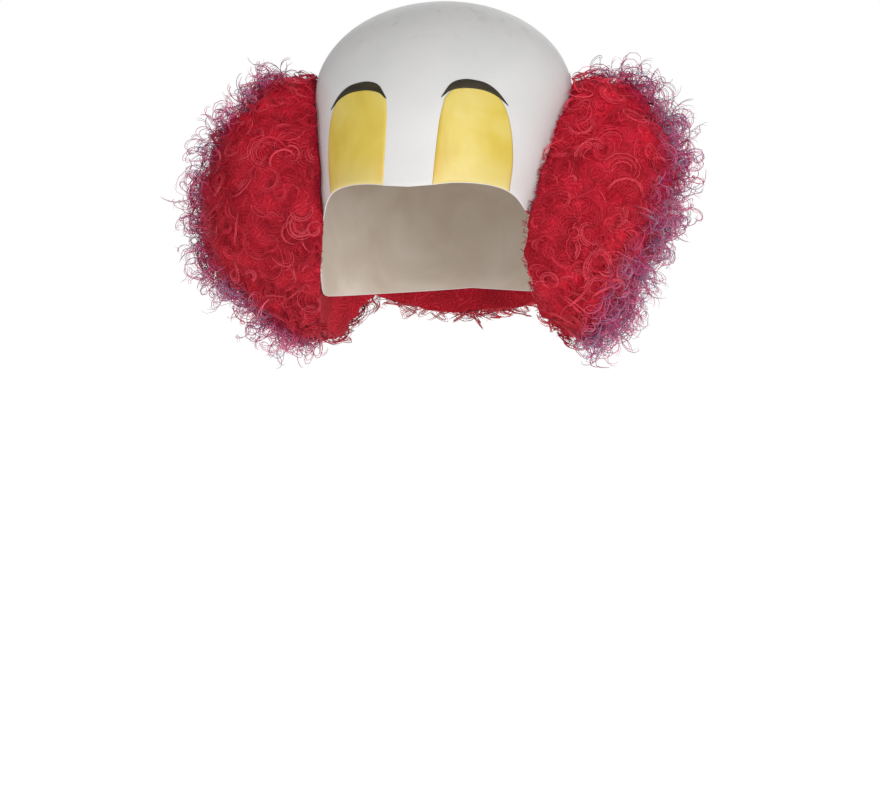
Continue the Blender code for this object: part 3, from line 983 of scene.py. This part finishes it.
def make_fringe(name, form, toward, seed, count, finish):
    """Looser, finer loops that stand out of the dense curls."""
    rng = np.random.default_rng(seed)
    ray, skin = form_rays(form, unit(rng.normal(size=(count * RAYS_PER_LOOP, 3))), FRINGE_FROM_HEAD)
    kept = rng.random(len(ray)) < plum_share(skin, toward)
    ray, skin = ray[kept][:count], skin[kept][:count]
    count = len(ray)
    out = form_normal(form, ray)
    wide = rng.random(count) < WIDE_LOOPS
    root = skin - out * rng.uniform(*FRINGE_ROOT, count)[:, None]
    stand = (rng.uniform(*FRINGE_REACH, count) * np.where(wide, WIDE_REACH, 1.0))[:, None]
    tip = skin + unit(out + rng.normal(0.0, FRINGE_LEAN, (count, 3))) * stand
    spin = rng.normal(0.0, SPIN_JITTER, (count, 3)) + SPIN_AXIS
    spin = spin - out * (spin * out).sum(axis=1, keepdims=True)
    spin = unit(spin + SPIN_TILT * rng.normal(size=(count, 3)))
    radius = np.where(wide, rng.uniform(*WIDE_RADIUS, count), rng.uniform(*FRINGE_RADIUS, count))
    turns = np.where(wide, rng.uniform(*WIDE_TURNS, count), rng.uniform(*FRINGE_TURNS, count))
    paths, axes = lock_strands(rng, root, tip, spin, radius, turns, FRINGE_STRANDS, FRINGE_STEPS,
                               FRINGE_TIGHTEN, FRINGE_SAG)
    paths, free = eased_off_head(within_box(paths), toward, HEAD_CLEARANCE)
    outward = np.tile(out, (FRINGE_STRANDS, 1))[free]
    paths, axes = paths[free], axes[free]
    total = len(paths)
    plum = plum_share(paths, toward) * FRINGE_PLUM + rng.uniform(*FRINGE_PLUM_SPREAD, total)[:, None]
    radius = rng.uniform(*FRINGE_WIDTH, total)
    tube_piece(name, paths, axes, outward, radius, rng.random(total), np.clip(plum, 0.0, 1.0), finish)


def within_box(points):
    """Points eased back into the room that loose strands may stand outside the built form's box."""
    low = np.array(CAD_BOX[0]) - FRINGE_LIMIT
    high = np.array(CAD_BOX[1]) + FRINGE_LIMIT
    over = np.maximum(points - (high - FRINGE_EASE), 0.0)
    under = np.maximum((low + FRINGE_EASE) - points, 0.0)
    eased_down = over - FRINGE_EASE * np.tanh(over / FRINGE_EASE)
    eased_up = under - FRINGE_EASE * np.tanh(under / FRINGE_EASE)
    return points - eased_down + eased_up


# Spikes along the hairline: how near the cap they stand, their length and their width (metres)
HAIRLINE_SPIKES = 260
RAYS_PER_SPIKE = 60
SPIKE_BAND = (0.0005, 0.005)
SPIKE_LENGTH = (0.002, 0.006)
SPIKE_WIDTH = (0.00020, 0.00034)
SPIKE_ROOT = 0.002
SPIKE_GAP = 0.0008
SPIKE_INWARD = 0.4
SPIKE_JITTER = 0.35
SPIKE_STEPS = 4
SPIKE_PLUM = (0.0, 0.5)
SPIKE_TINT = 0.5


def make_hairline(name, form, toward, seed, finish):
    """Short dark spikes where the hair's front or upper edge meets the cap."""
    rng = np.random.default_rng(seed)
    skin = form(unit(rng.normal(size=(RAYS_PER_SPIKE * HAIRLINE_SPIKES, 3))), 0.0)
    edge = skin[:, 1] < 0.0 if toward else skin[:, 2] > -BAND_CENTRE_DROP
    nearest, farthest = SPIKE_BAND
    skin = skin[outside_head(skin, nearest) & ~outside_head(skin, farthest) & edge][:HAIRLINE_SPIKES]
    count = len(skin)
    root = clear_of_head(skin, toward, HEAD_CLEARANCE)
    ahead = np.array((-SPIKE_INWARD * toward, -1.0, 0.0)) if toward else np.array((0.0, 0.0, 1.0))
    ahead = unit(ahead + rng.normal(0.0, SPIKE_JITTER, (count, 3)))
    way = np.linspace(0.0, 1.0, SPIKE_STEPS)
    reach = rng.uniform(*SPIKE_LENGTH, count)[:, None, None] * way[None, :, None]
    paths = root[:, None] - SPIKE_ROOT * ahead[:, None] + reach * ahead[:, None]
    paths = clear_of_head(paths, toward, SPIKE_GAP)
    out = unit(root * np.array((1.0, 1.0, 0.0)))
    plum = np.repeat(rng.uniform(*SPIKE_PLUM, count)[:, None], SPIKE_STEPS, axis=1)
    radius = rng.uniform(*SPIKE_WIDTH, count)
    tube_piece(name, paths, out, out, radius, SPIKE_TINT * rng.random(count), plum, finish)


# Inner mass: its grid, its depth under the curls, its lumps, and its gap to the head (metres)
CORE_GRID = (120, 84)
CORE_DEPTH = 0.0040
CORE_LUMPS = 420
LUMP_HEIGHT = 0.003
LUMP_SPREAD = 0.004
CORE_GAP = 0.0006


def make_core(name, form, toward, seed, node, finish):
    """The hair's dense inner mass: a lumpy closed form just under the curls."""
    rng = np.random.default_rng(seed)
    columns, rows = CORE_GRID
    around = np.arange(columns) * 2.0 * math.pi / columns
    down = np.linspace(0.0, math.pi, rows)[1:-1]
    turn, fall = np.meshgrid(around, down)
    ring = np.stack((np.sin(fall) * np.cos(turn), np.sin(fall) * np.sin(turn), np.cos(fall)), axis=-1)
    ray = np.vstack((ring.reshape(-1, 3), (0.0, 0.0, 1.0), (0.0, 0.0, -1.0)))
    lumps = unit(rng.normal(size=(CORE_LUMPS, 3)))
    lump = np.exp(-(1.0 - (ray @ lumps.T).max(axis=1)) / LUMP_SPREAD)
    points = clear_of_head(form(ray, -CORE_DEPTH + LUMP_HEIGHT * lump), toward, CORE_GAP)
    faces = grid_faces(rows - 2, columns, wrap=True)
    poles = pole_faces(rows - 2, columns, len(points) - 2, len(points) - 1)
    item = mesh_piece(name, points, [*faces, *poles], (finish,))
    face_out(item)
    set_attribute(item, "plum", plum_share(points, toward))
    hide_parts(node)
    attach(item, "root")


def strand_hair():
    """Crimped red fibre: each strand has its own red, and the outer curls turn plum."""
    material, tree, shader, place = new_material("red curly hair", (0.60, 0.018, 0.040), 0.50)
    tone = ramp(tree, attribute(tree, "tint"), (
        (0.00, (0.40, 0.007, 0.020)),
        (0.35, (0.55, 0.012, 0.034)),
        (0.72, (0.68, 0.026, 0.054)),
        (1.00, (0.78, 0.075, 0.110)),
    ))
    tone = mix(tree, attribute(tree, "plum"), tone, ramp(tree, attribute(tree, "tint"), (
        (0.00, (0.16, 0.012, 0.075)),
        (0.40, (0.40, 0.020, 0.110)),
        (0.85, (0.55, 0.050, 0.150)),
        (0.95, (0.16, 0.120, 0.240)),
    )))
    fibre = noise(tree, place, 420.0, 2.0)
    tone = mix(tree, 0.5, tone, ramp(tree, fibre, ((0.3, 0.75), (0.7, 1.0))), "MULTIPLY")
    # Painted light over the strands' red: paler upper curls and a paler left tuft.
    tree.links.new(painted_hair_light(tree, place, tone), shader.inputs["Base Color"])
    set_inputs(shader, {"Specular IOR Level": 0.18})
    soften(tree, shader, 0.5)
    return material


def fringe_hair():
    """Fine loose fibre in pink, plum and slate, paler than the dense curls since light passes it."""
    material, tree, shader, place = new_material("loose curly hair", (0.60, 0.080, 0.170), 0.50)
    red = ramp(tree, attribute(tree, "tint"), (
        (0.00, (0.50, 0.012, 0.050)),
        (0.50, (0.70, 0.040, 0.100)),
        (1.00, (0.86, 0.160, 0.230)),
    ))
    plum = ramp(tree, attribute(tree, "tint"), (
        (0.00, (0.34, 0.030, 0.150)),
        (0.40, (0.62, 0.080, 0.240)),
        (0.74, (0.80, 0.240, 0.380)),
        (0.80, (0.24, 0.220, 0.380)),
        (1.00, (0.32, 0.340, 0.440)),
    ))
    tone = mix(tree, attribute(tree, "plum"), red, plum)
    fibre = noise(tree, place, 420.0, 2.0)
    tone = mix(tree, 0.5, tone, ramp(tree, fibre, ((0.3, 0.80), (0.7, 1.0))), "MULTIPLY")
    tree.links.new(tone, shader.inputs["Base Color"])
    set_inputs(shader, {"Specular IOR Level": 0.25})
    return material


def painted_hair_light(tree, place, tone):
    """Painted light: upper curls and the left tuft are made paler, as the photographed hair is, for light
    from above passing through the upper curls and for the key light falling on the left side.
    """
    height = tree.nodes.new("ShaderNodeSeparateXYZ")
    tree.links.new(place, height.inputs["Vector"])
    # Painted light: curls higher up are made paler, as light from above passes through them.
    upper = ramp(tree, map_range(tree, height.outputs["Z"], -0.115, -0.045), ((0.0, 0.0), (1.0, 0.75)))
    # Painted light: the left tuft, on the key light's side, is made paler.
    tone = mix(tree, map_range(tree, height.outputs["X"], -0.05, 0.09), tone, (1.14, 1.14, 1.14), "MULTIPLY")
    return mix(tree, upper, tone, (1.75, 1.75, 1.75), "MULTIPLY")


def soften(tree, shader, share):
    """Shade fine strands partly by the tuft's own outward direction, as a mass of fibres looks."""
    outward = tree.nodes.new("ShaderNodeAttribute")
    outward.attribute_name = "outward"
    world = tree.nodes.new("ShaderNodeVectorTransform")
    world.vector_type = "NORMAL"
    world.convert_from = "OBJECT"
    world.convert_to = "WORLD"
    tree.links.new(outward.outputs["Vector"], world.inputs["Vector"])
    own = tree.nodes.new("ShaderNodeNewGeometry")
    join = tree.nodes.new("ShaderNodeMix")
    join.data_type = "VECTOR"
    join.inputs["Factor"].default_value = share
    tree.links.new(own.outputs["Normal"], join.inputs[4])
    tree.links.new(world.outputs["Vector"], join.inputs[5])
    tree.links.new(join.outputs[1], shader.inputs["Normal"])


def rosettes(tree, place, cell_scale, line_scale, wobble):
    """Fine curved lines round scattered middles, as combed curls seen end on."""
    bend = tree.nodes.new("ShaderNodeTexNoise")
    set_inputs(bend, {"Scale": 1.6 * cell_scale, "Detail": 2.0})
    tree.links.new(place, bend.inputs["Vector"])
    push = tree.nodes.new("ShaderNodeVectorMath")
    push.operation = "MULTIPLY_ADD"
    push.inputs[1].default_value = (wobble, wobble, wobble)
    tree.links.new(bend.outputs["Color"], push.inputs[0])
    tree.links.new(place, push.inputs[2])
    cells = tree.nodes.new("ShaderNodeTexVoronoi")
    set_inputs(cells, {"Scale": cell_scale})
    tree.links.new(push.outputs["Vector"], cells.inputs["Vector"])
    waves = math_node(tree, "SINE", math_node(tree, "MULTIPLY", cells.outputs["Distance"], line_scale))
    return map_range(tree, waves, -1.0, 1.0)


def core_hair():
    """Matted red hair under the curls: fine curved fibres in patches of darker and lighter red."""
    material, tree, shader, place = new_material("matted red hair", (0.42, 0.012, 0.026), 0.6)
    lines = rosettes(tree, place, 50.0, 70.0, 0.012)
    finer = rosettes(tree, place, 80.0, 40.0, 0.007)
    lines, finer = math_node(tree, "MULTIPLY", lines, 0.6), math_node(tree, "MULTIPLY", finer, 0.4)
    both = math_node(tree, "ADD", lines, finer)
    tone = ramp(tree, both, (
        (0.10, (0.36, 0.005, 0.015)),
        (0.60, (0.45, 0.009, 0.024)),
        (0.95, (0.56, 0.022, 0.044)),
    ))
    cloud = noise(tree, place, 48.0, 3.0, 0.6)
    tone = mix(tree, 1.0, tone, ramp(tree, cloud, ((0.30, 0.72), (0.60, 1.0))), "MULTIPLY")
    set_inputs(shader, {"Specular IOR Level": 0.12})
    tone = mix(tree, math_node(tree, "MULTIPLY", attribute(tree, "plum"), 0.6), tone, (0.30, 0.014, 0.065))
    # Painted light over the mass's red: paler upper curls and a paler left tuft.
    tree.links.new(painted_hair_light(tree, place, tone), shader.inputs["Base Color"])
    add_bump(tree, shader, both, 0.0009, 0.35)
    return material


def make_hair():
    """Two side tufts and the nape band: each has a mass, dense curls, loose loops and a hairline."""
    strands, loose, matted = strand_hair(), fringe_hair(), core_hair()
    forms = (
        ("left", lambda ray, swell: tuft_form(1.0, ray, swell), 1.0, TUFT_LOCKS, TUFT_LOOPS, 11),
        ("right", lambda ray, swell: tuft_form(-1.0, ray, swell), -1.0, TUFT_LOCKS, TUFT_LOOPS, 23),
        ("back", band_form, 0.0, BAND_LOCKS, BAND_LOOPS, 37),
    )
    for word, form, toward, locks, loops, seed in forms:
        make_core(f"hair_mass_{word}", form, toward, seed, f"hair_{word}", matted)
        make_locks(f"curls_{word}", form, toward, seed + 1, locks, strands)
        make_fringe(f"fringe_{word}", form, toward, seed + 2, loops, loose)
        make_hairline(f"hairline_{word}", form, toward, seed + 3, strands)


# Stage, light and camera

FLOOR_DROP = 0.30
FLOOR_SIZE = 6.0
WHITE = (1.0, 1.0, 1.0, 1.0)
LIGHTS_AIM = Vector((0.0, 0.0, -0.12))


def make_stage():
    bpy.ops.mesh.primitive_plane_add(size=FLOOR_SIZE, location=(0.0, 0.0, -FLOOR_DROP))
    floor = bpy.context.object
    floor.name = "floor"
    material, _, shader, _ = new_material("pale floor", (0.90, 0.90, 0.90), 0.85)
    set_inputs(shader, {"Emission Color": WHITE, "Emission Strength": 0.63})
    floor.data.materials.append(material)

    world = bpy.data.worlds.new("soft white room")
    bpy.context.scene.world = world
    world.use_nodes = True
    tree = world.node_tree
    room = tree.nodes["Background"]
    set_inputs(room, {"Color": WHITE, "Strength": 0.42})
    seen = tree.nodes.new("ShaderNodeBackground")
    set_inputs(seen, {"Color": WHITE, "Strength": 1.0})
    path = tree.nodes.new("ShaderNodeLightPath")
    join = tree.nodes.new("ShaderNodeMixShader")
    tree.links.new(path.outputs["Is Camera Ray"], join.inputs["Fac"])
    tree.links.new(room.outputs["Background"], join.inputs[1])
    tree.links.new(seen.outputs["Background"], join.inputs[2])
    tree.links.new(join.outputs["Shader"], tree.nodes["World Output"].inputs["Surface"])


def add_light(name, azimuth, elevation, distance, size, power):
    """Square soft light that faces the mask, at an azimuth from the face and an elevation (degrees)."""
    data = bpy.data.lights.new(name, "AREA")
    data.energy = power
    data.size = size
    light = new_object(name, data)
    turn, rise = math.radians(azimuth), math.radians(elevation)
    away = Vector((math.sin(turn) * math.cos(rise), -math.cos(turn) * math.cos(rise), math.sin(rise)))
    light.location = LIGHTS_AIM + away * distance
    light.rotation_euler = away.to_track_quat("Z", "Y").to_euler()


def make_lights():
    add_light("key light", 36.0, 4.0, 1.7, 1.1, 15.5)
    add_light("fill light", -30.0, 0.0, 2.0, 1.4, 4.2)
    add_light("back light", 190.0, 25.0, 1.8, 1.2, 5.0)


def make_camera():
    data = bpy.data.cameras.new("camera")
    data.sensor_width = SENSOR_WIDTH
    data.lens = CAMERA_FOCAL_PIXELS / IMAGE_WIDTH * SENSOR_WIDTH
    camera = new_object("camera", data)
    turn = math.radians(CAMERA_AZIMUTH)
    right = Vector((math.cos(turn), math.sin(turn), 0.0))
    back = Vector((math.sin(turn), -math.cos(turn), 0.0))
    target = Vector((0.0, 0.0, CAMERA_HEIGHT)) - right * CAMERA_SHIFT_LEFT
    camera.location = target + back * CAMERA_DISTANCE
    camera.rotation_euler = back.to_track_quat("Z", "Y").to_euler()
    bpy.context.scene.camera = camera


make_camera()
make_stage()
make_lights()
make_cap()
yellow, black = yellow_paint(), black_paint()
for word, side in (("left", 1.0), ("right", -1.0)):
    make_eyelid(word, side, yellow)
    make_eyebrow(word, side, black)
make_hair()
bpy.context.scene.view_settings.view_transform = "Standard"
